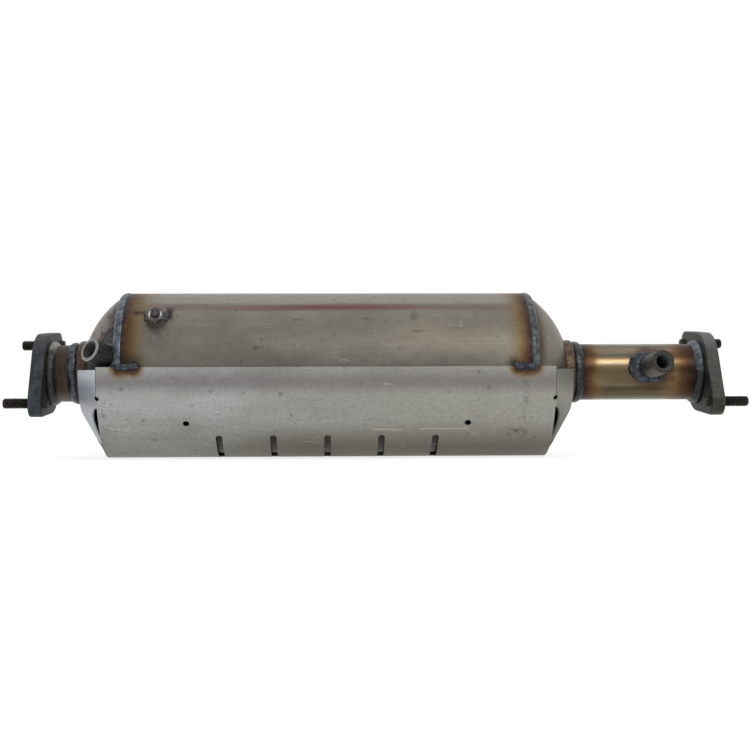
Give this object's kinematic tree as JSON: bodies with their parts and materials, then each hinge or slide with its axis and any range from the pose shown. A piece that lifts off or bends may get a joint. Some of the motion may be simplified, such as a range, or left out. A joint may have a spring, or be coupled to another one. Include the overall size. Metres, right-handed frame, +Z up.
{
  "type": "diesel particulate filter",
  "caption": "Round steel exhaust filter can with domed ends, flanged pipe stubs with studs, pressure bosses, a bracket nut and a slotted lower heat shield around a ceramic wall-flow filter.",
  "frame": {"origin": "centre of the inlet flange's outer face, on the gas axis", "axes": "+X along the gas flow from inlet to outlet, +Y away from the pressure bosses to the rear, +Z up, with the heat shield underneath"},
  "size_m": [0.6959, 0.1705, 0.1588],
  "materials": {
    "can_steel": "satin stainless with heat tint beside the welds",
    "dome_steel": "satin stainless, smudged",
    "pipe_steel": "heat-tinted stainless, straw to brown",
    "shield_sheet": "dull scratched sheet steel",
    "flange_steel": "dark bare steel",
    "stud_steel": "black threaded steel",
    "boss_steel": "turned steel darkened by heat",
    "weld_metal": "blue-grey rippled weld bead",
    "nut_steel": "bare steel nut",
    "filter_ceramic": "porous ceramic honeycomb with plugged cells",
    "mat_fibre": "ceramic fibre mat",
    "seal_mesh": "knitted wire mesh"
  },
  "bodies": {
    "root": {"can_shell": "can_steel", "can_seam_weld": "weld_metal", "inlet_dome": "dome_steel", "outlet_dome": "dome_steel", "inlet_girth_weld": "weld_metal", "outlet_girth_weld": "weld_metal", "inlet_pipe": "pipe_steel", "outlet_pipe": "pipe_steel", "inlet_neck_weld": "weld_metal", "outlet_neck_weld": "weld_metal", "inlet_flange": "flange_steel", "outlet_flange": "flange_steel", "inlet_flange_weld": "weld_metal", "outlet_flange_weld": "weld_metal", "inlet_studs": "stud_steel", "outlet_studs": "stud_steel", "inlet_pressure_boss": "boss_steel", "inlet_boss_weld": "weld_metal", "outlet_pressure_boss": "boss_steel", "outlet_boss_weld": "weld_metal", "bracket_nut": "nut_steel", "bracket_nut_welds": "weld_metal", "heat_shield": "shield_sheet", "shield_tack_welds": "weld_metal", "filter_monolith": "filter_ceramic", "support_mat": "mat_fibre", "inlet_mat_seal": "seal_mesh", "outlet_mat_seal": "seal_mesh"}
  },
  "joints": []
}
